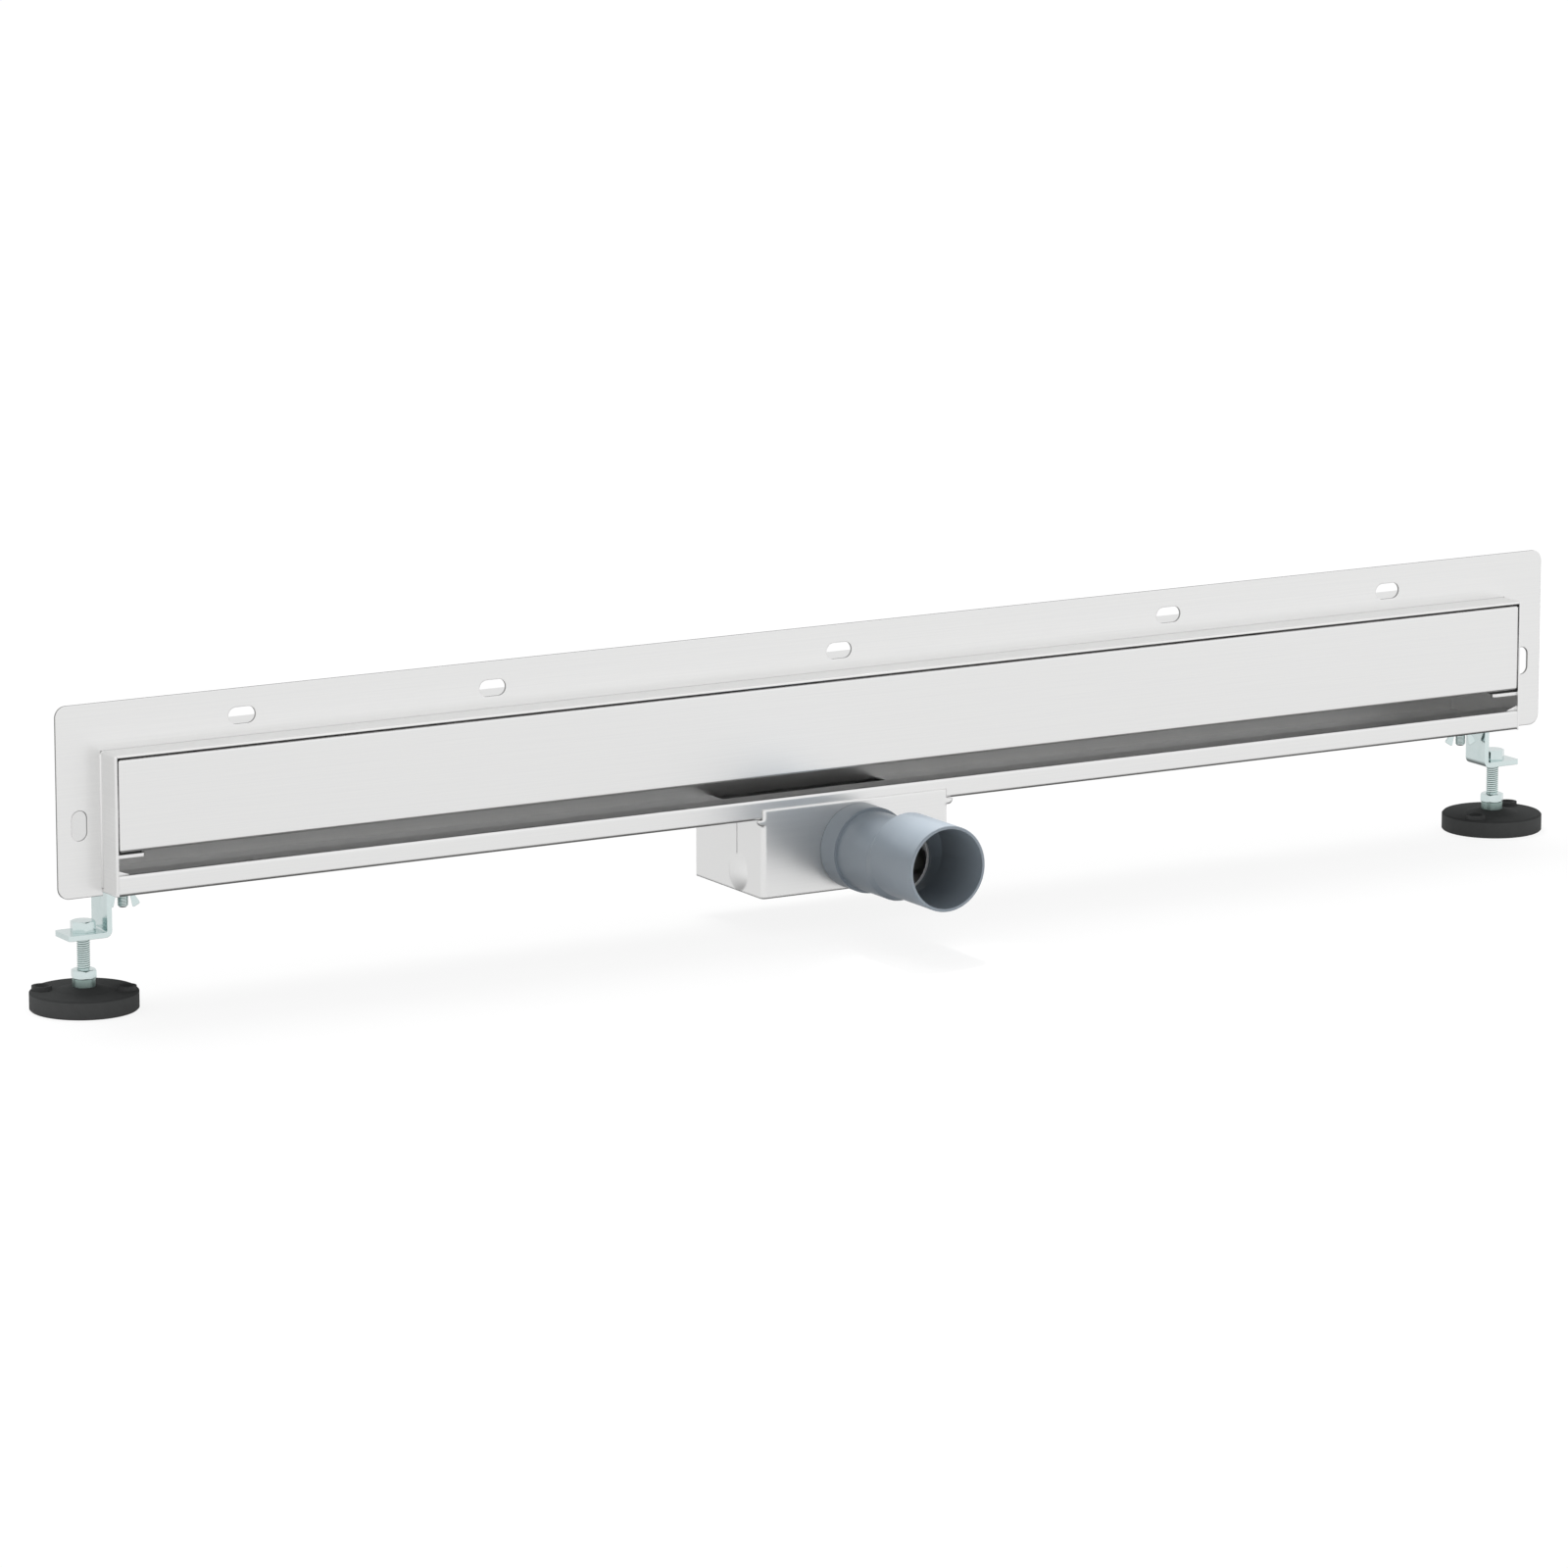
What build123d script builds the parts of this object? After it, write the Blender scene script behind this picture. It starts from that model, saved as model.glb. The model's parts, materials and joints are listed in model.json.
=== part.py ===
"""Linear shower drain for mounting in a wall: a stainless channel set through a wall flange,
a lift-out front cover over an inlet slot, a flat water trap with a plastic outlet, and two
levelling feet.

The frame has +X along the channel, +Y into the wall and +Z up.  Y = 0 is the wall plane, on the
rear face of the flange, and the origin is the middle fixing slot of the flange's upper row.
"""

import os
from math import cos, radians, sin

from build123d import *

os.makedirs("parts", exist_ok=True)

# Stainless sheet
sheet = 1.5
bend_radius = 1.8
edge_round = 1.0
rear_round = 1.4

# Wall flange
flange_length = 1000.0
flange_rise = 15.5
flange_drop = 92.9
flange_corner = 6.5
fixing_slot_length = 17.0
fixing_slot_width = 9.5
fixing_slot_share = 0.228
outer_slot_margin = 114.0
end_slot_length = 17.0
end_slot_drop = 52.4

# Channel, which passes through the flange
flange_margin = 27.0
channel_top = -11.5
channel_bottom = -90.8
frame_reach = 19.6
channel_back = 52.0
lip_foot = 6.0
lip_height = 12.1
lip_return = 18.0
lip_fall = 1.2
lip_corner_length = 7.0
lip_corner_rise = 2.4
inlet_width = 111.0
inlet_front = 13.0

# Front cover and what it rests on
cover_sheet = 1.2
cover_bend = 1.5
cover_gap = 0.9
cover_height = 52.2
cover_return = 10.0
cover_corner = 1.8
cover_setback = 0.3
rest_length = 17.4
rest_depth = 14.0
rest_thickness = 2.2
rest_corner = 3.0
rest_setback = 1.2
rest_pad_thickness = 1.4
rest_pad_inset = 2.0

# Trap under the middle of the channel
trap_sheet = 1.2
trap_width = 125.8
trap_back = 57.7
trap_bottom = -137.2
trap_edge = 2.6
lap_height = 5.8
flare_radius = 3.2
dimple_width = 22.0
dimple_depth = 2.0
dimple_y = 6.7
dimple_rise = 11.2
seam_width = 1.0
seam_depth = 0.6
dip_plate_y = 9.2
dip_plate_height = 27.8
weir_plate_y = -5.0
weir_plate_height = 34.0

# Outlet: a stainless stub in an eccentric plastic reducer
outlet_x = 1.3
outlet_drop = 112.2
stub_diameter = 40.0
stub_wall = 1.7
stub_length = 48.0
collar_diameter = 50.6
collar_length = 15.5
reducer_body_diameter = 47.0
reducer_body_length = 33.0
step_length = 7.0
spigot_diameter = 50.0
spigot_wall = 1.8
spigot_length = 44.0
spigot_rise = 4.5
socket_clearance = 0.15
collar_seat_gap = 0.2
seal_width = 5.0
seal_height = 1.9
seal_from_mouth = 5.0

# Foot: a zinc-plated Z bracket under the channel and a levelling bolt in a rubber pad
foot_overhang = 5.0
foot_y = 14.5
bracket_width = 20.0
bracket_thickness = 3.0
bracket_height = 27.65
bracket_bend = 4.0
bracket_setback = 5.1
bracket_top_length = 26.0
bracket_foot_length = 23.0
bracket_corner = 2.0
stud_setback = 19.6
stud_diameter = 5.6
stud_length = 13.6
stud_clearance = 0.25
wing_nut_height = 3.2
wing_hub_top = 9.0
wing_hub_end = 7.5
wing_span = 19.3
wing_drop = 11.1
wing_end_width = 4.2
wing_end_rise = 2.6
wing_thickness = 2.0
wing_root = 0.5
wing_round = 0.8
wing_turn = -20.0
bolt_diameter = 6.7
bolt_length = 38.85
bolt_head_across = 13.0
bolt_head_height = 6.2
hex_chamfer = 0.9
hex_turn = 15.0
thread_clearance = 0.05
leg_hole_clearance = 0.4
thread_lead = 0.8
lock_nut_height = 5.2
insert_diameter = 13.0
insert_stand = 4.5
insert_depth = 9.8
bolt_grip = 7.8
pad_diameter = 61.2
pad_rim_height = 10.6
pad_crown_height = 12.8
pad_crown_diameter = 32.0
pad_edge = 1.0
pad_foot_chamfer = 0.6
pad_screw_circle = 47.0
pad_screw_diameter = 4.5
pad_screw_head = 8.4
pad_screw_angle = 150.0
pad_boss_diameter = 11.5
pad_boss_height = 13.0

# Levels and faces that follow from the sizes above
fixing_slot_pitch = fixing_slot_share * flange_length
outer_slot_x = flange_length / 2 - outer_slot_margin
channel_length = flange_length - 2 * flange_margin
foot_x = channel_length / 2 + foot_overhang
bracket_web_x = channel_length / 2 - bracket_setback
stud_x = channel_length / 2 - stud_setback
frame_front = -frame_reach
rear_face = channel_back - sheet
lip_joint_y = frame_front + lip_foot
lip_top = channel_bottom + lip_height
trough_length = channel_length - 2 * sheet
cover_top = channel_top - sheet - cover_gap
cover_bottom = cover_top - cover_height
cover_length = trough_length - 2 * cover_gap
cover_front = frame_front + cover_setback
rest_top = cover_bottom - rest_pad_thickness
trap_front = frame_front - trap_sheet
trap_floor = trap_bottom + trap_sheet
trap_inside = trap_width - 2 * trap_sheet
lap_top = channel_bottom + lap_height
leg_under = channel_bottom - bracket_height
leg_top = leg_under + bracket_thickness
bolt_end = leg_top - bolt_length
insert_top = bolt_end + bolt_grip + insert_stand
pad_crown = insert_top - insert_stand
floor_level = pad_crown - pad_crown_height
pad_rim = floor_level + pad_rim_height
insert_bottom = pad_crown - insert_depth


def front_plane(y):
    """A plane seen from the front: local x is X, local y is Z, and it faces the room."""
    return Plane(origin=(0, y, 0), x_dir=(1, 0, 0), z_dir=(0, -1, 0))


def section_plane(x):
    """A cross-section of the channel: local x is Y and local y is Z, facing +X."""
    return Plane(origin=(x, 0, 0), x_dir=(0, 1, 0), z_dir=(1, 0, 0))


def outlet_plane(y, rise=0.0):
    """A plane across the outlet, with its origin on the outlet's axis raised by rise."""
    return Plane(origin=(outlet_x, y, rise - outlet_drop), x_dir=(1, 0, 0), z_dir=(0, -1, 0))


def plan_plane(x, y, z):
    """A level plane with its origin at a given point, seen from above."""
    return Plane(origin=(x, y, z), x_dir=(1, 0, 0), z_dir=(0, 0, 1))


# Wall flange: one sheet in the form of an arch round the channel, with oblong fixing slots
with BuildPart() as wall_flange:
    with BuildSketch(front_plane(0)) as flange_outline:
        flange_middle = (flange_rise - flange_drop) / 2
        with Locations((0, flange_middle)):
            RectangleRounded(flange_length, flange_rise + flange_drop, flange_corner)
        mouth_height = channel_top + flange_drop
        with Locations((0, channel_top - mouth_height / 2)):
            Rectangle(channel_length, mouth_height, mode=Mode.SUBTRACT)
        inner_row = [(n * fixing_slot_pitch, 0) for n in (-1, 0, 1)]
        outer_row = [(-outer_slot_x, 0), (outer_slot_x, 0)]
        with Locations(*inner_row, *outer_row):
            SlotOverall(fixing_slot_length, fixing_slot_width, mode=Mode.SUBTRACT)
        end_slot_x = (flange_length + channel_length) / 4
        with Locations((-end_slot_x, -end_slot_drop), (end_slot_x, -end_slot_drop)):
            SlotOverall(end_slot_length, fixing_slot_width, rotation=90, mode=Mode.SUBTRACT)
    extrude(amount=sheet)
wall_flange.part.label = "wall_flange"
export_step(wall_flange.part, "parts/wall_flange.step")

# Channel, upper wall: the top of the frame, with its front edge rounded
with BuildPart() as channel_upper:
    with BuildSketch(section_plane(0)):
        with Locations(((frame_front + rear_face) / 2, channel_top - sheet / 2)):
            Rectangle(rear_face - frame_front, sheet)
    extrude(amount=trough_length / 2, both=True)
    front_edges = channel_upper.edges().filter_by(Axis.X).group_by(Axis.Y)[0]
    fillet([front_edges.sort_by(Axis.Z)[-1]], edge_round)
channel_upper.part.label = "channel_upper"
export_step(channel_upper.part, "parts/channel_upper.step")

# Channel, rear wall: rounded where it turns to the upper wall and to the floor
with BuildPart() as channel_rear:
    with BuildSketch(section_plane(0)):
        with Locations((channel_back - sheet / 2, (channel_top + channel_bottom) / 2)):
            Rectangle(sheet, channel_top - channel_bottom)
        fillet(vertices().group_by(Axis.X)[-1], rear_round)
    extrude(amount=trough_length / 2, both=True)
channel_rear.part.label = "channel_rear"
export_step(channel_rear.part, "parts/channel_rear.step")

# Channel, floor: the inlet to the trap is cut in it, right up to the rear wall
with BuildPart() as channel_floor:
    with BuildSketch(plan_plane(0, 0, channel_bottom)):
        with Locations((0, (lip_joint_y + rear_face) / 2)):
            Rectangle(trough_length, rear_face - lip_joint_y)
        with Locations((0, (inlet_front + rear_face) / 2)):
            Rectangle(inlet_width, rear_face - inlet_front, mode=Mode.SUBTRACT)
    extrude(amount=sheet)
channel_floor.part.label = "channel_floor"
export_step(channel_floor.part, "parts/channel_floor.step")

# Channel lip: a strip welded to the front of the floor, folded up and then over at its top, where it falls
# a little inwards, so that water runs off it
with BuildPart() as channel_lip:
    with BuildSketch(section_plane(0)):
        with BuildLine():
            FilletPolyline(
                (lip_joint_y, channel_bottom),
                (frame_front, channel_bottom),
                (frame_front, lip_top),
                (frame_front + lip_return, lip_top - lip_fall),
                radius=bend_radius,
            )
            offset(amount=sheet, side=Side.RIGHT)
        make_face()
    extrude(amount=trough_length / 2, both=True)
channel_lip.part.label = "channel_lip"
export_step(channel_lip.part, "parts/channel_lip.step")

# End plate, left: closes the trough and makes the side of the frame
with BuildPart() as end_plate:
    with BuildSketch(section_plane(-channel_length / 2)):
        plate_depth = channel_back - frame_front
        plate_height = channel_top - channel_bottom
        with Locations(((channel_back + frame_front) / 2, (channel_top + channel_bottom) / 2)):
            Rectangle(plate_depth, plate_height)
        corners = vertices().sort_by(Axis.Y)
        rear_corners = corners[2:]
        lower_front = corners[:2].sort_by(Axis.Z)[0]
        fillet(rear_corners, rear_round)
        fillet([lower_front], bend_radius)
    extrude(amount=sheet)
    outer_edges = end_plate.faces().sort_by(Axis.X)[0].edges()
    fillet([outer_edges.filter_by(Axis.Z).sort_by(Axis.Y)[0]], edge_round)
    # A small gusset runs out from the frame's side along the top of the lip
    with BuildSketch(front_plane(frame_front + bend_radius)):
        with BuildLine():
            Polyline(
                (-trough_length / 2, lip_top - sheet),
                (lip_corner_length - trough_length / 2, lip_top - sheet),
                (lip_corner_length - trough_length / 2, lip_top),
                (-trough_length / 2, lip_top + lip_corner_rise),
                close=True,
            )
        make_face()
    extrude(amount=-sheet)
    add(channel_lip.part, mode=Mode.SUBTRACT)

# Cover rest, left: a small shelf welded to the end plate
with BuildPart() as cover_rest:
    rest_x = rest_length / 2 - trough_length / 2
    rest_y = frame_front + rest_setback + rest_depth / 2
    with BuildSketch(plan_plane(rest_x, rest_y, rest_top)):
        Rectangle(rest_length, rest_depth)
        fillet(vertices().sort_by(Axis.X)[2:], rest_corner)
    extrude(amount=-rest_thickness)

# Rest pad, left: a strip of rubber on the shelf, which keeps the cover from rattling
with BuildPart() as rest_pad:
    with BuildSketch(plan_plane(rest_x, rest_y, rest_top)):
        Rectangle(rest_length - 2 * rest_pad_inset, rest_depth - 2 * rest_pad_inset)
    extrude(amount=rest_pad_thickness)

# Front cover: a flat sheet with its upper and lower edges folded back
with BuildPart() as cover_panel:
    with BuildSketch(section_plane(0)):
        with BuildLine():
            FilletPolyline(
                (cover_front + cover_return, cover_top),
                (cover_front, cover_top),
                (cover_front, cover_bottom),
                (cover_front + cover_return, cover_bottom),
                radius=cover_bend,
            )
            offset(amount=cover_sheet, side=Side.LEFT)
        make_face()
    extrude(amount=cover_length / 2, both=True)
    with BuildSketch(front_plane(cover_front)):
        with Locations((0, (cover_top + cover_bottom) / 2)):
            RectangleRounded(cover_length, cover_height, cover_corner)
    extrude(amount=-cover_return, mode=Mode.INTERSECT)
cover_panel.part.label = "cover_panel"
export_step(cover_panel.part, "parts/cover_panel.step")

# Trap box: a flat sheet-metal box whose front laps the lip and whose back laps the channel's back
with BuildPart() as trap_box:
    with BuildSketch(section_plane(0)):
        with BuildLine():
            Polyline(
                (trap_front, trap_bottom),
                (trap_back, trap_bottom),
                (trap_back, lap_top),
                (channel_back, lap_top),
                (channel_back, channel_bottom),
                (frame_front, channel_bottom),
                (frame_front, lap_top),
                (trap_front, lap_top),
                close=True,
            )
        make_face()
    extrude(amount=trap_width / 2, both=True)
    upright_edges = trap_box.edges().filter_by(Axis.Z)
    corner_edges = upright_edges.group_by(Axis.Y)[0] + upright_edges.group_by(Axis.Y)[-1]
    fillet(corner_edges, trap_edge)
    # The inside is open upwards under the channel's floor
    with BuildSketch(section_plane(0)):
        with BuildLine():
            Polyline(
                (frame_front, trap_floor),
                (trap_back - trap_sheet, trap_floor),
                (trap_back - trap_sheet, lap_top - trap_sheet),
                (channel_back, lap_top - trap_sheet),
                (channel_back, channel_bottom),
                (frame_front, channel_bottom),
                close=True,
            )
        make_face()
    extrude(amount=trap_inside / 2, both=True, mode=Mode.SUBTRACT)
    # Hole for the outlet stub
    with BuildSketch(outlet_plane(frame_front)):
        Circle(stub_diameter / 2 + thread_clearance)
    extrude(amount=trap_sheet, mode=Mode.SUBTRACT)
    # Concave shoulders where the front runs out under the lip
    with BuildSketch(front_plane(frame_front)):
        for side in (-1, 1):
            root = side * (trap_width / 2 - trap_edge)
            wall = side * trap_width / 2
            tip = side * (trap_width / 2 + flare_radius)
            with BuildLine():
                Polyline(
                    (wall, channel_bottom - flare_radius),
                    (root, channel_bottom - flare_radius),
                    (root, channel_bottom),
                    (tip, channel_bottom),
                )
                RadiusArc((tip, channel_bottom), (wall, channel_bottom - flare_radius), side * flare_radius)
            make_face()
    extrude(amount=trap_sheet)
    # A dimple pressed out of each side, and the seam of the dip plate that is welded inside above it
    dimple_z = trap_bottom + dimple_rise
    dimple_axis = Axis((0, dimple_y, dimple_z), (1, 0, 0))
    seam_y = dip_plate_y - trap_sheet / 2
    seam_height = channel_bottom - dimple_z - dimple_width / 2
    for side in (-1, 1):
        for face, mode in ((trap_width / 2, Mode.ADD), (trap_inside / 2, Mode.SUBTRACT)):
            with BuildSketch(plan_plane(0, dimple_y, dimple_z)) as dimple:
                with BuildLine():
                    foot = (side * face, dimple_width / 2)
                    crown = (side * (face + dimple_depth), 0)
                    TangentArc(crown, foot, tangent=(0, 1))
                    Polyline(foot, (side * face, 0), crown)
                make_face()
            revolve(dimple.sketch, axis=dimple_axis, mode=mode)
        with Locations((side * trap_width / 2, seam_y, channel_bottom - seam_height / 2)):
            Box(2 * seam_depth, seam_width, seam_height, mode=Mode.SUBTRACT)
trap_box.part.label = "trap_box"
export_step(trap_box.part, "parts/trap_box.step")

# Dip plate: hangs from the channel's floor into the water
with BuildPart() as dip_plate:
    with BuildSketch(front_plane(dip_plate_y)):
        with Locations((0, channel_bottom - dip_plate_height / 2)):
            Rectangle(trap_inside, dip_plate_height)
    extrude(amount=trap_sheet)
dip_plate.part.label = "dip_plate"
export_step(dip_plate.part, "parts/dip_plate.step")

# Weir plate: stands on the trap's floor and holds the water level
with BuildPart() as weir_plate:
    with BuildSketch(front_plane(weir_plate_y)):
        with Locations((0, trap_floor + weir_plate_height / 2)):
            Rectangle(trap_inside, weir_plate_height)
    extrude(amount=trap_sheet)
weir_plate.part.label = "weir_plate"
export_step(weir_plate.part, "parts/weir_plate.step")

# Outlet stub: a stainless tube welded into the front of the trap
with BuildPart() as outlet_stub:
    with BuildSketch(outlet_plane(frame_front)):
        Circle(stub_diameter / 2)
        Circle(stub_diameter / 2 - stub_wall, mode=Mode.SUBTRACT)
    extrude(amount=stub_length)
outlet_stub.part.label = "outlet_stub"
export_step(outlet_stub.part, "parts/outlet_stub.step")

# Outlet reducer: a socket over the stub, an eccentric step and a spigot for the waste pipe
collar_mouth = trap_front - collar_seat_gap
body_start = collar_mouth - collar_length
step_start = body_start - reducer_body_length
spigot_start = step_start - step_length
socket_radius = stub_diameter / 2 + socket_clearance
with BuildPart() as outlet_reducer:
    with BuildSketch(outlet_plane(collar_mouth)):
        Circle(collar_diameter / 2)
    extrude(amount=collar_length)
    with BuildSketch(outlet_plane(body_start)):
        Circle(reducer_body_diameter / 2)
    extrude(amount=reducer_body_length)
    with BuildSketch(outlet_plane(step_start)):
        Circle(reducer_body_diameter / 2)
    with BuildSketch(outlet_plane(spigot_start, spigot_rise)):
        Circle(spigot_diameter / 2)
    loft(ruled=True)
    with BuildSketch(outlet_plane(spigot_start, spigot_rise)):
        Circle(spigot_diameter / 2)
    extrude(amount=spigot_length)
    # The waterway: the socket, its seal groove, the step and the bore of the spigot
    with BuildSketch(outlet_plane(collar_mouth)):
        Circle(socket_radius)
    extrude(amount=collar_length + reducer_body_length, mode=Mode.SUBTRACT)
    with BuildSketch(outlet_plane(collar_mouth - seal_from_mouth)):
        Circle(socket_radius + seal_height)
    extrude(amount=seal_width, mode=Mode.SUBTRACT)
    with BuildSketch(outlet_plane(step_start)):
        Circle(socket_radius)
    with BuildSketch(outlet_plane(spigot_start, spigot_rise)):
        Circle(spigot_diameter / 2 - spigot_wall)
    loft(ruled=True, mode=Mode.SUBTRACT)
    with BuildSketch(outlet_plane(spigot_start, spigot_rise)):
        Circle(spigot_diameter / 2 - spigot_wall)
    extrude(amount=spigot_length, mode=Mode.SUBTRACT)
    mouth_rims = outlet_reducer.edges().filter_by(GeomType.CIRCLE).group_by(Axis.Y)
    chamfer(mouth_rims[0].sort_by(SortBy.RADIUS)[-1:], spigot_wall / 4)
outlet_reducer.part.label = "outlet_reducer"
export_step(outlet_reducer.part, "parts/outlet_reducer.step")

# Reducer seal: a rubber ring in the groove of the socket
with BuildPart() as reducer_seal:
    with BuildSketch(outlet_plane(collar_mouth - seal_from_mouth)):
        Circle(socket_radius + seal_height - thread_clearance)
        Circle(stub_diameter / 2 + thread_clearance, mode=Mode.SUBTRACT)
    extrude(amount=seal_width)
reducer_seal.part.label = "reducer_seal"
export_step(reducer_seal.part, "parts/reducer_seal.step")

# Bracket, left: a strip bent to a Z, its upper leg under the channel, its lower leg outwards
with BuildPart() as bracket:
    with BuildSketch(front_plane(foot_y)):
        with BuildLine():
            FilletPolyline(
                (-bracket_web_x + bracket_top_length, channel_bottom),
                (-bracket_web_x, channel_bottom),
                (-bracket_web_x, leg_top),
                (-bracket_web_x - bracket_foot_length, leg_top),
                radius=bracket_bend - bracket_thickness,
            )
            offset(amount=bracket_thickness, side=Side.LEFT)
        make_face()
    extrude(amount=bracket_width / 2, both=True)
    leg_ends = bracket.edges().filter_by(Axis.Z)
    fillet(leg_ends.group_by(Axis.X)[0] + leg_ends.group_by(Axis.X)[-1], bracket_corner)
    with Locations((-stud_x, foot_y, channel_bottom - bracket_thickness / 2)):
        Cylinder(stud_diameter / 2 + stud_clearance, 2 * bracket_thickness, mode=Mode.SUBTRACT)
    with Locations((-foot_x, foot_y, leg_top - bracket_thickness / 2)):
        Cylinder(bolt_diameter / 2 + leg_hole_clearance, 2 * bracket_thickness, mode=Mode.SUBTRACT)

# Stud, left: welded to the underside of the channel
with BuildPart() as stud:
    with BuildSketch(plan_plane(-stud_x, foot_y, channel_bottom)):
        Circle(stud_diameter / 2)
    extrude(amount=-stud_length)
    chamfer(stud.faces().sort_by(Axis.Z)[0].edges(), thread_lead)

# Wing nut, left: clamps the bracket to the channel, its wings hanging down
wing_top = channel_bottom - bracket_thickness
with BuildPart() as wing_nut:
    with BuildSketch(plan_plane(-stud_x, foot_y, wing_top)):
        Circle(wing_hub_top / 2)
    with BuildSketch(plan_plane(-stud_x, foot_y, wing_top - wing_nut_height)):
        Circle(wing_hub_end / 2)
    loft(ruled=True)
    wing_tip = wing_span / 2
    across = Vector(1, 0, 0).rotate(Axis.Z, wing_turn)
    wing_face = Vector(0, -1, 0).rotate(Axis.Z, wing_turn)
    with BuildSketch(Plane(origin=(-stud_x, foot_y, wing_top), x_dir=across, z_dir=wing_face)):
        for side in (-1, 1):
            with BuildLine():
                Polyline(
                    (side * (wing_tip - wing_end_width), -wing_drop),
                    (side * wing_hub_end / 2, wing_root - wing_nut_height),
                    (side * wing_hub_end / 4, wing_root - wing_nut_height),
                    (side * wing_hub_end / 4, -wing_root),
                    (side * wing_hub_top / 2, -wing_root),
                    (side * wing_tip, wing_end_rise - wing_drop),
                    close=True,
                )
            make_face()
        fillet(vertices().sort_by(Axis.Y)[:4], wing_round)
    extrude(amount=wing_thickness / 2, both=True)
    with Locations((-stud_x, foot_y, wing_top - wing_nut_height)):
        Cylinder(stud_diameter / 2 + thread_clearance, 3 * wing_nut_height, mode=Mode.SUBTRACT)


def hexagon(bottom, height, turned_ends):
    """Adds a hexagon on the foot's axis, with the corners of its ends turned off."""
    axis_plane = plan_plane(-foot_x, foot_y, bottom)
    with BuildSketch(axis_plane) as flats:
        RegularPolygon(bolt_head_across / 2, 6, major_radius=False, rotation=hex_turn)
    extrude(flats.sketch, amount=height)
    turned_radius = bolt_head_across / 2 - hex_chamfer / 2
    for end in turned_ends:
        level = bottom if end < 0 else bottom + height
        slope_plane = Plane(origin=(-foot_x, foot_y, level), x_dir=(1, 0, 0), z_dir=(0, -1, 0))
        with BuildSketch(slope_plane) as slope:
            with BuildLine():
                Polyline(
                    (turned_radius, 0),
                    (turned_radius + 4 * hex_chamfer, -2 * end * hex_chamfer),
                    (turned_radius + 4 * hex_chamfer, 0),
                    close=True,
                )
            make_face()
        revolve(slope.sketch, axis=Axis((-foot_x, foot_y, 0), (0, 0, 1)), mode=Mode.SUBTRACT)


# Levelling bolt, left: its head on the bracket's lower leg and its end in the pad's insert
with BuildPart() as levelling_bolt:
    hexagon(leg_top, bolt_head_height, turned_ends=(1,))
    with BuildSketch(plan_plane(-foot_x, foot_y, leg_top)):
        Circle(bolt_diameter / 2)
    extrude(amount=-bolt_length)
    chamfer(levelling_bolt.faces().sort_by(Axis.Z)[0].edges(), thread_lead)

# Lock nut, left: holds the bolt in the insert
with BuildPart() as lock_nut:
    hexagon(insert_top, lock_nut_height, turned_ends=(-1, 1))
    with Locations((-foot_x, foot_y, insert_top)):
        Cylinder(bolt_diameter / 2 + thread_clearance, 3 * lock_nut_height, mode=Mode.SUBTRACT)

# Foot insert, left: a threaded steel bush that stands up out of the pad
with BuildPart() as foot_insert:
    with BuildSketch(plan_plane(-foot_x, foot_y, insert_bottom)):
        Circle(insert_diameter / 2)
    extrude(amount=insert_depth + insert_stand)
    with BuildSketch(plan_plane(-foot_x, foot_y, bolt_end)):
        Circle(bolt_diameter / 2 + thread_clearance)
    extrude(amount=bolt_grip + insert_stand, mode=Mode.SUBTRACT)

# Foot pad, left: a rubber disc rising to a seat for the insert, with two raised screw holes
with BuildPart() as foot_pad:
    pad_radius = pad_diameter / 2
    with BuildSketch(Plane(origin=(-foot_x, foot_y, 0), x_dir=(1, 0, 0), z_dir=(0, -1, 0))):
        with BuildLine():
            Polyline(
                (0, floor_level),
                (pad_radius - pad_foot_chamfer, floor_level),
                (pad_radius, floor_level + pad_foot_chamfer),
                (pad_radius, pad_rim - pad_edge),
                (pad_radius - pad_edge, pad_rim),
                (pad_crown_diameter / 2, pad_rim),
                (insert_diameter / 2 + pad_edge, pad_crown),
                (0, pad_crown),
                close=True,
            )
        make_face()
    revolve(axis=Axis((-foot_x, foot_y, 0), (0, 0, 1)))
    screw_places = []
    for turn in (0, 180):
        angle = radians(pad_screw_angle + turn)
        screw_x = pad_screw_circle / 2 * cos(angle) - foot_x
        screw_y = pad_screw_circle / 2 * sin(angle) + foot_y
        screw_places.append((screw_x, screw_y))
    with BuildSketch(plan_plane(0, 0, floor_level + pad_foot_chamfer)):
        with Locations(*screw_places):
            Circle(pad_boss_diameter / 2)
    extrude(amount=pad_boss_height - pad_foot_chamfer)
    boss_top = floor_level + pad_boss_height
    with Locations(*[(x, y, boss_top) for x, y in screw_places]):
        CounterSinkHole(pad_screw_diameter / 2, pad_screw_head / 2, depth=pad_boss_height)
    with BuildSketch(plan_plane(-foot_x, foot_y, insert_bottom)):
        Circle(insert_diameter / 2 + thread_clearance)
    extrude(amount=insert_depth, mode=Mode.SUBTRACT)

# Each piece at the left end has a mirrored one at the right end
end_pieces = {
    "end_plate": end_plate,
    "cover_rest": cover_rest,
    "rest_pad": rest_pad,
    "bracket": bracket,
    "stud": stud,
    "wing_nut": wing_nut,
    "levelling_bolt": levelling_bolt,
    "lock_nut": lock_nut,
    "foot_insert": foot_insert,
    "foot_pad": foot_pad,
}
for name, piece in end_pieces.items():
    piece.part.label = f"{name}_left"
    export_step(piece.part, f"parts/{name}_left.step")
    with BuildPart() as opposite:
        if piece is wing_nut:
            add(wing_nut.part.moved(Location((2 * stud_x, 0, 0))))
        else:
            mirror(piece.part, about=Plane.YZ)
    opposite.part.label = f"{name}_right"
    export_step(opposite.part, f"parts/{name}_right.step")
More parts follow.
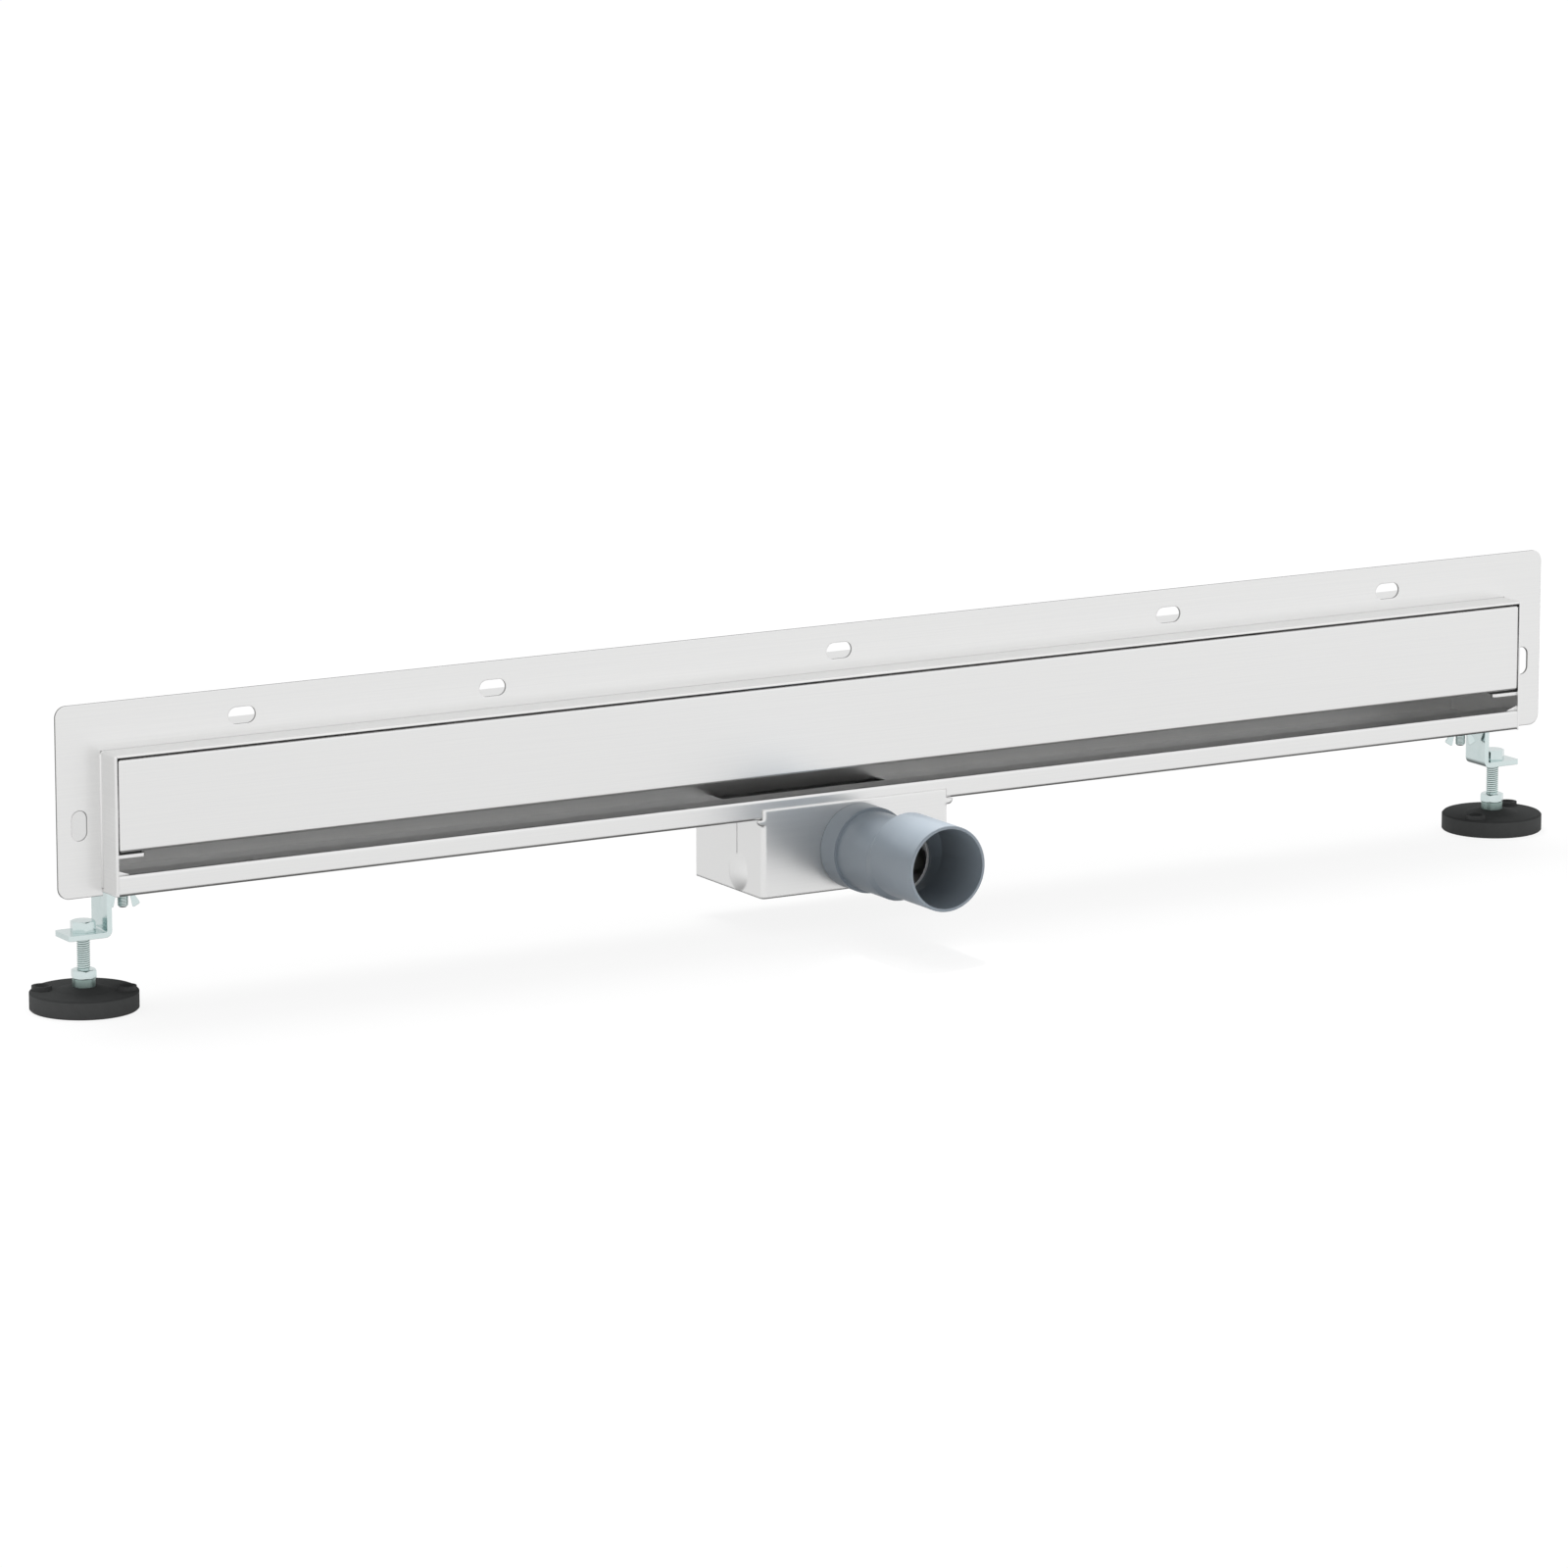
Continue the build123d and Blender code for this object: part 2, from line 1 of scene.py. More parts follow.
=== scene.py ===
# %% [markdown]
# # A linear shower drain for mounting in a wall
# The drain is a stainless channel with a wall flange, a front cover, a flat trap and two levelling feet.
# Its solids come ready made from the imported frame, at their true places, in metres.
# This lesson adds what the solids leave out: finishes, screw threads, weld beads, a studio and the camera.

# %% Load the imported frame
import json
from math import radians

import bpy
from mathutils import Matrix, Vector


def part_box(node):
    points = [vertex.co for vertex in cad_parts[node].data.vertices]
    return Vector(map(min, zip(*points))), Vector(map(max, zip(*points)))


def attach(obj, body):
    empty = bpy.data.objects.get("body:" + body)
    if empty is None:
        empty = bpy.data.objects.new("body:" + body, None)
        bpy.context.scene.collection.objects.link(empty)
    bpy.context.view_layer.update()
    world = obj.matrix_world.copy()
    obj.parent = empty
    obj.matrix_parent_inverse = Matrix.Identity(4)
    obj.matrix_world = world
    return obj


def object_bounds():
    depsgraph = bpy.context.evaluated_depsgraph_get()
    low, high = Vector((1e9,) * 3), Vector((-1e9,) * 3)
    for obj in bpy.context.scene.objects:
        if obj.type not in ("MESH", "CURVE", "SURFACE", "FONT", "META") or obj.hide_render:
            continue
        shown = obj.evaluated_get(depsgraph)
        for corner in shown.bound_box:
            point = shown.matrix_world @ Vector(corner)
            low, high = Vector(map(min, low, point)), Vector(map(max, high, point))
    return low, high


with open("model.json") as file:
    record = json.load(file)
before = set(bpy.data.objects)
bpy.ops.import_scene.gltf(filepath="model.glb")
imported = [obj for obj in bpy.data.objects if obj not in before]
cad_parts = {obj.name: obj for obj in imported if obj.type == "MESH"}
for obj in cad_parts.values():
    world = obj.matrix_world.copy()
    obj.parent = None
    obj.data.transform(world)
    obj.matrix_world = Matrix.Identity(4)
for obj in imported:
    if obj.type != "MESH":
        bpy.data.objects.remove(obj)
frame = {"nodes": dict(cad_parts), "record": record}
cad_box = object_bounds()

MM = 0.001
SIDES = ("left", "right")
nodes = frame["nodes"]

# %% [markdown]
# ## The camera
# The photograph is a long-lens view from the left, a little above the drain.
# A camera can be placed by eye.  This one was fitted to the straight edges of the flange, the channel and
# the trap, because a long straight object shows at once if the view is wrong.
# An upright camera with a plain tilt is enough, and no lens shift is needed.

# %% Set up the camera
SENSOR_WIDTH = 36.0
FOCAL_LENGTH = 177.93
CAMERA_PLACE = (-2.2664, -3.7938, 0.8238)
CAMERA_TURN = 30.45
CAMERA_TILT = 11.55
CLIP_END = 100.0

bpy.ops.object.select_all(action="DESELECT")
bpy.ops.object.camera_add(
    location=CAMERA_PLACE,
    rotation=(radians(90 - CAMERA_TILT), 0, radians(-CAMERA_TURN)),
)
camera = bpy.context.object
camera.data.sensor_width = SENSOR_WIDTH
camera.data.lens = FOCAL_LENGTH
camera.data.clip_end = CLIP_END
bpy.context.scene.camera = camera
print("camera at", CAMERA_PLACE, "with a lens of", FOCAL_LENGTH, "mm")

# %% [markdown]
# ## Helpers for materials
# Colours are picked as sRGB hex values, as a colour chart gives them, and shaders want linear numbers.
# One function turns the first into the second.  Another adds a node, sets it up and links it, so that each
# material below reads as a list of what it is made of.


# %% Colour and node helpers
def linear(hex_colour):
    """An sRGB hex colour as linear RGBA."""
    values = []
    for place in (1, 3, 5):
        share = int(hex_colour[place : place + 2], 16) / 255
        values.append(share / 12.92 if share <= 0.04045 else ((share + 0.055) / 1.055) ** 2.4)
    return (*values, 1.0)


def add_node(tree, kind, settings=None, values=None, links=None):
    """Adds a node.  settings are its properties, values fill its sockets, links join them to other nodes."""
    node = tree.nodes.new(kind)
    for name, value in (settings or {}).items():
        setattr(node, name, value)
    for socket, value in (values or {}).items():
        node.inputs[socket].default_value = value
    for socket, output in (links or {}).items():
        tree.links.new(output, node.inputs[socket])
    return node


def new_material(name):
    """A material with an empty node tree."""
    made = bpy.data.materials.new(name)
    made.use_nodes = True
    made.node_tree.nodes.clear()
    return made


print("white is", linear("#ffffff"))

# %% [markdown]
# ## What all finishes share
# No real finish is one flat colour, and no real edge is quite sharp.
# Every finish here mixes two close tones by a pattern, and the same pattern makes the surface a little
# rougher or smoother.  That pattern or a finer one gives it a shallow relief.
# Small rounded edges could be modelled, but the solids stay as they are.  A Bevel node bends the light at
# each edge instead, so that it catches a fine line of light.

# %% The shared surface
EDGE_SAMPLES = 8
# A Mix node has sockets of the same name for each kind of data, so those for colour go by their number.
MIX_FACTOR = 0
MIX_DARK = 6
MIX_LIGHT = 7
MIX_RESULT = 2


def wire_surface(tree, pattern, grain, tones, roughness, relief, edge_mm, shader):
    """Joins two tones, a roughness, a relief and soft edges to one shader.  relief is strength and mm."""
    tone = add_node(
        tree,
        "ShaderNodeMix",
        {"data_type": "RGBA"},
        {MIX_DARK: linear(tones[0]), MIX_LIGHT: linear(tones[1])},
        {MIX_FACTOR: pattern},
    )
    rough = add_node(
        tree,
        "ShaderNodeMapRange",
        values={"To Min": roughness[0], "To Max": roughness[1]},
        links={"Value": pattern},
    )
    soft_edge = add_node(tree, "ShaderNodeBevel", {"samples": EDGE_SAMPLES}, {"Radius": edge_mm * MM})
    bump = add_node(
        tree,
        "ShaderNodeBump",
        values={"Strength": relief[0], "Distance": relief[1] * MM},
        links={"Height": grain, "Normal": soft_edge.outputs["Normal"]},
    )
    surface = add_node(
        tree,
        "ShaderNodeBsdfPrincipled",
        values=shader,
        links={
            "Base Color": tone.outputs[MIX_RESULT],
            "Roughness": rough.outputs["Result"],
            "Normal": bump.outputs["Normal"],
        },
    )
    add_node(tree, "ShaderNodeOutputMaterial", links={"Surface": surface.outputs["BSDF"]})


print("edges are softened with", EDGE_SAMPLES, "samples")

# %% [markdown]
# ## Stainless steel
# The channel, flange, cover and trap are 1.4301 stainless sheet with a fine satin grind.
# A grind leaves shallow parallel scratches, so the sheet mirrors its surroundings softly and unevenly.
# An anisotropic shader could do that.  A noise stretched along the grind was chosen, because it also shows
# the streaks themselves.
# Real scratches are too fine for a pixel to show here, so they are drawn 0.6 mm wide and very faint.

# %% Satin stainless
SCRATCH_WIDTH = 0.6
SCRATCH_LENGTH = 60.0
SCRATCH_DETAIL = 3.0
SCRATCH_RELIEF = (0.05, 0.1)
SHEET_TONES = ("#e9e9e9", "#f2f2f1")
SHEET_EDGE = 0.7


def satin_stainless(name, grind_axis, roughness, tones=SHEET_TONES, edge_mm=SHEET_EDGE):
    """Ground steel whose scratches run along one axis of the part, 0 for X, 1 for Y and 2 for Z."""
    made = new_material(name)
    tree = made.node_tree
    per_metre = [1 / (SCRATCH_WIDTH * MM)] * 3
    per_metre[grind_axis] = 1 / (SCRATCH_LENGTH * MM)
    place = add_node(tree, "ShaderNodeTexCoord")
    grind = add_node(
        tree, "ShaderNodeMapping", values={"Scale": per_metre}, links={"Vector": place.outputs["Object"]}
    )
    scratches = add_node(
        tree,
        "ShaderNodeTexNoise",
        values={"Scale": 1.0, "Detail": SCRATCH_DETAIL},
        links={"Vector": grind.outputs["Vector"]},
    )
    streaks = scratches.outputs["Fac"]
    wire_surface(tree, streaks, streaks, tones, roughness, SCRATCH_RELIEF, edge_mm, {"Metallic": 1.0})
    return made


print("scratches are drawn", SCRATCH_WIDTH, "mm wide and", SCRATCH_LENGTH, "mm long")

# %% [markdown]
# ## The states of the steel
# One sheet looks different where it was folded, drawn, turned or sheared.
# Each state gets its own material from the same function, so that they stay one family.

# %% Sheet, tube and cut edges
SHEET_ROUGHNESS = (0.26, 0.36)
TUBE_ROUGHNESS = (0.1, 0.16)
CUT_ROUGHNESS = (0.6, 0.75)
# The sheared tones are darker than the sheet as painted shade along the flange's edges.
SHEARED_PAINTED_SHADE_TONES = ("#a4a4a4", "#b2b2b1")
TRAP_EDGE = 1.8

# Ground along the channel: a soft bright mirror with fine streaks from end to end.
steel_lengthwise = satin_stainless("Stainless_1.4301_satin_ground_lengthwise", 0, SHEET_ROUGHNESS)
# Ground across it, on the plates that close the ends: the same mirror with streaks from front to back.
steel_crosswise = satin_stainless("Stainless_1.4301_satin_ground_crosswise", 1, SHEET_ROUGHNESS)
# Folded into the trap: rounder bends, which show as broad soft lines instead of hard ones.
steel_folded = satin_stainless("Stainless_1.4301_satin_folded_trap", 0, SHEET_ROUGHNESS, edge_mm=TRAP_EDGE)
# Drawn into the outlet tube: smoother, so that the inside of the outlet mirrors more sharply.
steel_tube = satin_stainless("Stainless_1.4301_drawn_tube", 1, TUBE_ROUGHNESS)
# Turned off square at the tube's rim: matt, so that the rim shows as a pale ring in the dark outlet.
steel_turned = satin_stainless("Stainless_1.4301_turned_rim", 1, CUT_ROUGHNESS)
# Sheared at the flange's edges and slots: matt, with a grey tone that is painted shade, which draws a thin
# line round the flange.
steel_sheared_painted_shade = satin_stainless("Stainless_1.4301_sheared_edge_painted_shade", 1, CUT_ROUGHNESS, SHEARED_PAINTED_SHADE_TONES)
for steel in (steel_lengthwise, steel_crosswise, steel_folded, steel_tube, steel_turned, steel_sheared_painted_shade):
    print("made", steel.name)

# %% [markdown]
# ## Zinc plating, plastic and rubber
# The brackets, bolts and nuts are steel with bright zinc, which is cool in colour and slightly cloudy.
# The outlet reducer is injection-moulded grey polypropylene, smooth with a soft sheen.
# The foot pads, the rest pads and the seal are black rubber with a matt, faintly grained skin.
# All of them are clouds of two close tones under a fine grain, so one function makes them with other sizes.
# The real grain is too fine for a pixel to show here, so it is drawn 0.5 to 0.9 mm wide.

# %% Clouded finishes
CLOUD_DETAIL = 4.0
GRAIN_DETAIL = 2.0
GRAIN_STRENGTH = 0.3
MOULD_EDGE = 0.25


def clouded(name, tones, cloud_mm, roughness, grain_mm, grain_depth, shader):
    """A finish with soft clouds of two close tones and a fine grain on its surface."""
    made = new_material(name)
    tree = made.node_tree
    place = add_node(tree, "ShaderNodeTexCoord").outputs["Object"]
    clouds = add_node(
        tree,
        "ShaderNodeTexNoise",
        values={"Scale": 1 / (cloud_mm * MM), "Detail": CLOUD_DETAIL},
        links={"Vector": place},
    )
    grain = add_node(
        tree,
        "ShaderNodeTexNoise",
        values={"Scale": 1 / (grain_mm * MM), "Detail": GRAIN_DETAIL},
        links={"Vector": place},
    )
    pattern = clouds.outputs["Fac"]
    relief = (GRAIN_STRENGTH, grain_depth)
    wire_surface(tree, pattern, grain.outputs["Fac"], tones, roughness, relief, MOULD_EDGE, shader)
    return made


print("moulded edges are softened by", MOULD_EDGE, "mm")

# %% Zinc on the hardware
# Bright plating: a cool, almost clear mirror, broken only by faint clouds.
zinc = clouded(
    "Steel_bright_zinc_plated",
    ("#cbdad9", "#dbe6e6"),
    cloud_mm=6.0,
    roughness=(0.13, 0.2),
    grain_mm=0.8,
    grain_depth=0.02,
    shader={"Metallic": 1.0},
)
# Zinc on threads and inserts: duller and greener, with darker tones as painted shade in the thread's grooves
# and a painted reflection of the dark pads beside the inserts, so that they stand out from the nuts.
thread_zinc_painted_shade = clouded(
    "Steel_zinc_thread_painted_shade",
    ("#9fb5b0", "#adc1bc"),
    cloud_mm=3.0,
    roughness=(0.3, 0.4),
    grain_mm=0.8,
    grain_depth=0.02,
    shader={"Metallic": 1.0},
)
print("made", zinc.name, "and", thread_zinc_painted_shade.name)

# %% Plastic and rubber
# Moulded polypropylene: an even cool grey with a soft band of light along the top of the pipe.
polypropylene = clouded(
    "Polypropylene_grey_moulded",
    ("#79828b", "#818a92"),
    cloud_mm=14.0,
    roughness=(0.28, 0.36),
    grain_mm=0.5,
    grain_depth=0.004,
    shader={"IOR": 1.49},
)
# Moulded rubber: a dark grey that stays matt from every side.
rubber = clouded(
    "Rubber_black_moulded",
    ("#434444", "#494a4a"),
    cloud_mm=5.0,
    roughness=(0.85, 0.95),
    grain_mm=0.7,
    grain_depth=0.04,
    shader={"IOR": 1.5, "Specular IOR Level": 0.2},
)
# Rubber on the pads' tops: a coarser grain, with tones a shade darker than the sides as painted shade, since
# the key light falls on the tops.
rubber_top_painted_shade = clouded(
    "Rubber_black_grained_top_painted_shade",
    ("#373838", "#3c3d3d"),
    cloud_mm=5.0,
    roughness=(0.9, 1.0),
    grain_mm=0.9,
    grain_depth=0.06,
    shader={"IOR": 1.5, "Specular IOR Level": 0.05},
)
print("made", polypropylene.name, rubber.name, "and", rubber_top_painted_shade.name)

# %% [markdown]
# ## Dressing the solids
# Each node of the frame has a material slot in the record, which says what it is made of.
# A few nodes have a finish of their own: the plates that close an end were ground across the channel, the
# trap was folded, the outlet tube was drawn, and the threaded inserts of the feet are duller, with a darker
# tone that is painted shade.

# %% Give every node its finish
slot_finish = {
    "stainless": steel_lengthwise,
    "zinc": zinc,
    "outlet_plastic": polypropylene,
    "rubber": rubber,
}
own_finish = {"trap_box": steel_folded, "outlet_stub": steel_tube}
for side in SIDES:
    own_finish[f"end_plate_{side}"] = steel_crosswise
    own_finish[f"cover_rest_{side}"] = steel_crosswise
    # The inserts' darker zinc is painted shade.
    own_finish[f"foot_insert_{side}"] = thread_zinc_painted_shade
for entry in frame["record"]["subparts"]:
    name = entry["node"]
    nodes[name].data.materials.clear()
    nodes[name].data.materials.append(own_finish.get(name, slot_finish[entry["material_slot"]]))

# %% [markdown]
# ## Faces with another finish
# Some pieces change their finish from face to face: the flange at its sheared edges, greyed by painted
# shade, the tube at its turned rim, and the pads on their grained tops, darkened by painted shade.
# Such faces could be split off, but a second material slot keeps each piece whole.
# The faces are chosen by where they point, which holds for any size of the drain.

# %% Give the cut edges, the rim and the pad tops their finish
SLANTED = 0.5
STRAIGHT_ON = 0.9
# The grey of the flange's edges and the darker tones of the pad tops are painted shade.
face_finishes = (
    ("wall_flange", steel_sheared_painted_shade, lambda normal: abs(normal.y) < SLANTED),
    ("outlet_stub", steel_turned, lambda normal: normal.y < -STRAIGHT_ON),
    ("foot_pad_left", rubber_top_painted_shade, lambda normal: normal.z > SLANTED),
    ("foot_pad_right", rubber_top_painted_shade, lambda normal: normal.z > SLANTED),
)
for name, finish, takes_it in face_finishes:
    nodes[name].data.materials.append(finish)
    for face in nodes[name].data.polygons:
        face.material_index = int(takes_it(face.normal))
    print(name, "has a second finish:", finish.name)

# %% [markdown]
# ## Screw threads
# The bolts and studs are plain cylinders in the solids, a little slimmer than the crests of their threads.
# The ridge of a thread is one small section wound round the shank.
# A bump could draw it, but a modelled coil shows in the outline of the shank.
# The section starts as a plane that stands against the shank, with its outer end made narrow.

# %% Draw the section of a ridge
RIDGE_SUNK = 0.15
RIDGE_FOOT = 0.55
RIDGE_CREST = 0.25


def ridge_section(name, centre, shank_radius, crest_radius, pitch):
    """The outline of a ridge beside an upright shank.  Its foot is sunk into the shank to leave no gap."""
    sunk = RIDGE_SUNK * (crest_radius - shank_radius)
    depth = crest_radius - shank_radius + sunk
    bpy.ops.object.select_all(action="DESELECT")
    bpy.ops.mesh.primitive_plane_add(size=1, location=centre)
    ridge = bpy.context.object
    ridge.name = name
    bpy.ops.object.mode_set(mode="EDIT")
    bpy.ops.mesh.select_all(action="SELECT")
    bpy.ops.transform.resize(value=(depth, pitch * RIDGE_FOOT, 1), center_override=centre)
    bpy.ops.transform.rotate(value=radians(90), orient_axis="X", center_override=centre)
    bpy.ops.transform.translate(value=(shank_radius - sunk + depth / 2, 0, 0))
    bpy.ops.object.mode_set(mode="OBJECT")
    crest_x = max(vertex.co.x for vertex in ridge.data.vertices)
    for vertex in ridge.data.vertices:
        vertex.select = vertex.co.x > crest_x - depth / 2
    for edge in ridge.data.edges:
        edge.select = all(ridge.data.vertices[end].select for end in edge.vertices)
    for face in ridge.data.polygons:
        face.select = False
    bpy.ops.object.mode_set(mode="EDIT")
    bpy.ops.mesh.select_mode(type="VERT")
    bpy.ops.transform.resize(value=(1, 1, RIDGE_CREST), center_override=centre)
    bpy.ops.mesh.select_all(action="SELECT")
    bpy.ops.mesh.delete(type="ONLY_FACE")
    bpy.ops.object.mode_set(mode="OBJECT")
    return ridge


print("a ridge's crest is", RIDGE_CREST, "of its foot")

# %% [markdown]
# ## From section to coil
# A Screw modifier winds the section upwards by one pitch a turn, about the piece's own upright axis.
# Its two open ends are filled, so that the coil is a closed mesh, and its place then goes into the mesh.

# %% Wind a section round a shank
THREAD_SIDES = 28
MERGE_DISTANCE = 0.001 * MM
SMOOTH_ANGLE = radians(30)


def wind_thread(name, axis, low, high, shank_radius, crest_radius, pitch):
    """A helical ridge on an upright shank, between two levels."""
    ridge = ridge_section(name, (*axis, low), shank_radius, crest_radius, pitch)
    coil = ridge.modifiers.new("coil", "SCREW")
    coil.axis = "Z"
    coil.screw_offset = pitch
    coil.iterations = max(1, round((high - low) / pitch))
    coil.steps = coil.render_steps = THREAD_SIDES
    bpy.ops.object.modifier_apply(modifier="coil")
    bpy.ops.object.mode_set(mode="EDIT")
    bpy.ops.mesh.select_all(action="SELECT")
    bpy.ops.mesh.remove_doubles(threshold=MERGE_DISTANCE)
    bpy.ops.mesh.fill_holes(sides=0)
    bpy.ops.mesh.normals_make_consistent(inside=False)
    bpy.ops.object.mode_set(mode="OBJECT")
    bpy.ops.object.transform_apply(location=True, rotation=True, scale=True)
    bpy.ops.object.shade_smooth_by_angle(angle=SMOOTH_ANGLE)
    # The thread's darker zinc is painted shade for its grooves.
    ridge.data.materials.append(thread_zinc_painted_shade)
    print(name, "has", len(ridge.data.polygons), "faces")
    return ridge


# %% [markdown]
# ## The same piece at the other end
# Both ends of the drain have the same hardware, so each piece is modelled once, on the left, and copied.
# A mirrored copy would turn the thread the wrong way round, so the copy is only moved along the channel.


# %% Copy a piece along the channel
def copy_along(piece, name, shift):
    """A copy of a piece with a mesh of its own, moved along X."""
    bpy.ops.object.select_all(action="DESELECT")
    piece.select_set(True)
    bpy.context.view_layer.objects.active = piece
    bpy.ops.object.duplicate(linked=False)
    copied = bpy.context.object
    copied.name = name
    bpy.ops.transform.translate(value=(shift, 0, 0))
    bpy.ops.object.transform_apply(location=True, rotation=True, scale=True)
    print(name, "stands", round(shift, 4), "m from", piece.name)
    return copied


def upright_axis(node):
    """The place of a node's upright axis, seen from above."""
    low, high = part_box(node)
    return ((low.x + high.x) / 2, (low.y + high.y) / 2)


# %% [markdown]
# ## Threads of the levelling bolts
# Each bolt's thread is seen between the lock nut and the bracket, and goes on into the bracket's hole.
# It moves with the foot, so it rides on the foot's body.

# %% Wind the bolts' threads
BOLT_PITCH = 1.25 * MM
BOLT_SHANK = 3.35 * MM
BOLT_CREST = 3.7 * MM
BOLT_IN_BRACKET = 2 * MM

bolt_axis = upright_axis("levelling_bolt_left")
thread_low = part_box("lock_nut_left")[1].z
thread_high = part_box("bracket_left")[0].z + BOLT_IN_BRACKET
bolt_thread_left = wind_thread(
    "bolt_thread_left", bolt_axis, thread_low, thread_high, BOLT_SHANK, BOLT_CREST, BOLT_PITCH
)
bolt_shift = upright_axis("levelling_bolt_right")[0] - bolt_axis[0]
bolt_thread_right = copy_along(bolt_thread_left, "bolt_thread_right", bolt_shift)
for thread, body in ((bolt_thread_left, "left_foot"), (bolt_thread_right, "right_foot")):
    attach(thread, body)

# %% [markdown]
# ## Threads of the studs
# Each stud hangs under the channel and holds the bracket with a wing nut.
# Its thread starts a little above the chamfered end and runs up to the hub of the nut.

# %% Wind the studs' threads
STUD_PITCH = 0.8 * MM
STUD_SHANK = 2.8 * MM
STUD_CREST = 3.05 * MM
STUD_PLAIN_END = 0.9 * MM
WING_HUB_HEIGHT = 3.2 * MM

stud_axis = upright_axis("stud_left")
thread_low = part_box("stud_left")[0].z + STUD_PLAIN_END
thread_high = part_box("wing_nut_left")[1].z - WING_HUB_HEIGHT
stud_thread_left = wind_thread(
    "stud_thread_left", stud_axis, thread_low, thread_high, STUD_SHANK, STUD_CREST, STUD_PITCH
)
stud_shift = upright_axis("stud_right")[0] - stud_axis[0]
stud_thread_right = copy_along(stud_thread_left, "stud_thread_right", stud_shift)
for thread in (stud_thread_left, stud_thread_right):
    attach(thread, "drain")

# %% [markdown]
# ## Weld beads
# Each end plate stands on the flange and is joined to it by a fine bead of weld, a thin bright line.
# The bead could be swept along the corner.  A slim rod that is sunk into the corner does as well, because
# only its outer quarter can be seen.  Its ends are rounded with a bevel.

# %% Lay the beads
BEAD_RADIUS = 0.8 * MM
BEAD_ROUND = 0.6 * MM
BEAD_SHORTER = 3.2 * MM
BEAD_SIDES = 24
BEAD_STEPS = 4

plate_low, plate_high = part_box("end_plate_left")
flange_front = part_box("wall_flange")[0].y
bpy.ops.object.select_all(action="DESELECT")
bpy.ops.mesh.primitive_cylinder_add(
    vertices=BEAD_SIDES,
    radius=BEAD_RADIUS,
    depth=plate_high.z - plate_low.z - BEAD_SHORTER,
    location=(plate_low.x, flange_front, (plate_high.z + plate_low.z) / 2),
)
bead_left = bpy.context.object
bead_left.name = "weld_bead_left"
bpy.ops.object.mode_set(mode="EDIT")
bpy.ops.mesh.select_mode(type="FACE")
bpy.ops.mesh.select_all(action="DESELECT")
bpy.ops.object.mode_set(mode="OBJECT")
for face in bead_left.data.polygons:
    face.select = abs(face.normal.z) > STRAIGHT_ON
bpy.ops.object.mode_set(mode="EDIT")
bpy.ops.mesh.bevel(offset=BEAD_ROUND, segments=BEAD_STEPS, affect="EDGES")
bpy.ops.object.mode_set(mode="OBJECT")
bpy.ops.object.transform_apply(location=True, rotation=True, scale=True)
bpy.ops.object.shade_smooth_by_angle(angle=SMOOTH_ANGLE)
bead_left.data.materials.append(steel_crosswise)
bead_right = copy_along(bead_left, "weld_bead_right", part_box("end_plate_right")[1].x - plate_low.x)
for bead in (bead_left, bead_right):
    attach(bead, "drain")
print("a bead is", round(bead_left.dimensions.z, 4), "m long")

# %% [markdown]
# ## The studio floor
# The photograph has a plain white ground, and the drain stands on it with its feet.
# A floor that only glows would be white but would lose the shadow, and white paper alone comes out grey.
# So the camera sees a mix of both: mostly glow, and enough lit paper to carry a soft shadow.
# Metal doesn't mirror the floor: it mirrors the surroundings instead, which can be shaped by direction.

# %% Lay the floor
FLOOR_SIDE = 60.0
FLOOR_GLOW = 0.86
WHITE = linear("#ffffff")
PAPER_WHITE = linear("#f4f4f4")

bpy.ops.object.select_all(action="DESELECT")
bpy.ops.mesh.primitive_plane_add(size=FLOOR_SIDE, location=(0, 0, cad_box[0].z))
floor = bpy.context.object
floor.name = "studio_floor"
floor.visible_glossy = False
print(floor.name, "lies at", round(cad_box[0].z, 4))

# %% Paper for the floor
# Matt white paper: no gloss, so that only the shadow shows on it.
paper = new_material("Studio_paper_white")
tree = paper.node_tree
matt = add_node(tree, "ShaderNodeBsdfDiffuse", values={"Color": PAPER_WHITE})
glow = add_node(tree, "ShaderNodeEmission", values={"Color": WHITE, "Strength": 1.0})
ray = add_node(tree, "ShaderNodeLightPath")
share = add_node(
    tree, "ShaderNodeMath", {"operation": "MULTIPLY"}, {1: FLOOR_GLOW}, {0: ray.outputs["Is Camera Ray"]}
)
blend = add_node(
    tree,
    "ShaderNodeMixShader",
    links={0: share.outputs[0], 1: matt.outputs["BSDF"], 2: glow.outputs["Emission"]},
)
add_node(tree, "ShaderNodeOutputMaterial", links={"Surface": blend.outputs["Shader"]})
floor.data.materials.append(paper)
print("made", paper.name)

# %% [markdown]
# ## The surroundings
# Bare steel shows little but its surroundings, so they decide how it looks.
# A plain white world would leave it flat.  This one is white in front and above, a little darker at the
# back, and dark below, as in a studio with a dark bench, which gives the folds and hollows their depth.
# The camera itself sees plain white, and soft even light falls on what isn't a mirror.

# %% Light from all round
WORLD_LIGHT = 0.8
SHADE_FROM = -0.25
SHADE_TO = -0.65
SHADE_LEVEL = 0.12
BACK_FROM = 0.2
BACK_TO = 0.9
BACK_LEVEL = 0.84

